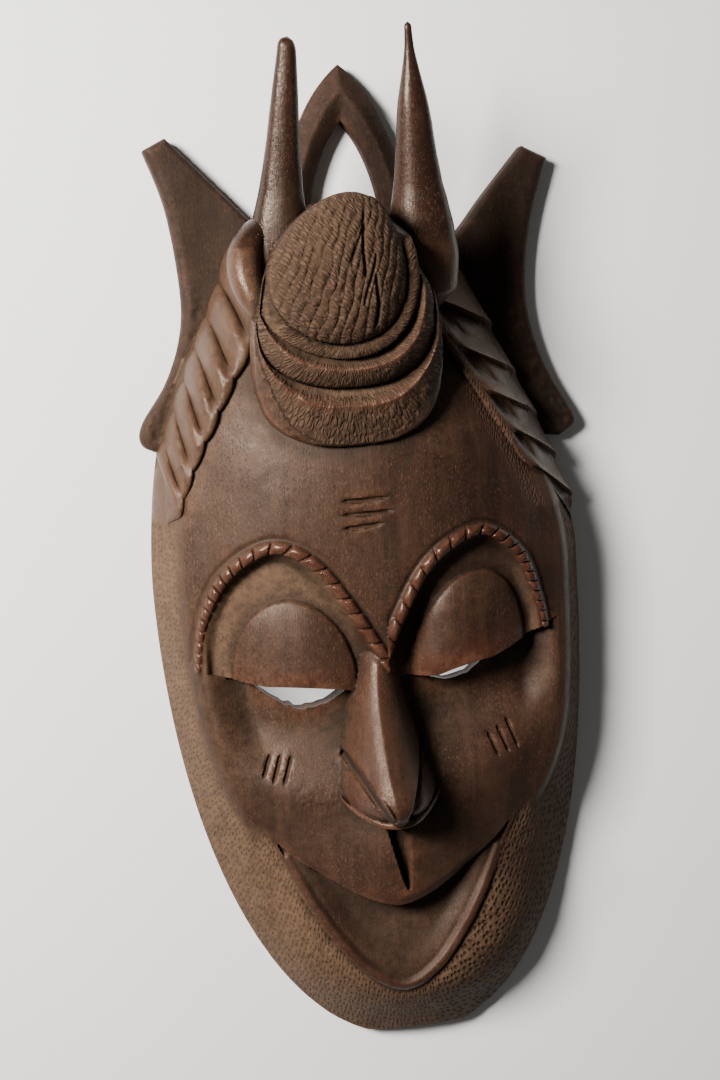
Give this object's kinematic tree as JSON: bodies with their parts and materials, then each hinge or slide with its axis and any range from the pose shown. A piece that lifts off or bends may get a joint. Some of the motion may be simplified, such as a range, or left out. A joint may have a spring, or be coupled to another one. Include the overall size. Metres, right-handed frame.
{
  "type": "african mask",
  "caption": "Long oval carved wooden face mask with hollow back, slit eyes, horns, braids and an egg-shaped hair knot on rolls, side wings and a pointed hanging loop.",
  "frame": {"origin": "on the flat back plane of the rim, under the middle of the mask's outline, with the mask lying on its back", "axes": "+Y up the face from the chin to the horns, +Z out of the face, +X to the right as seen from the front"},
  "size_m": [0.2396, 0.541, 0.1152],
  "materials": {
    "wood": "dark stained hand-carved hardwood, waxed and worn glossy on high places, dusty and matt in the punched bands"
  },
  "bodies": {
    "root": {"mask": "wood"}
  },
  "joints": []
}
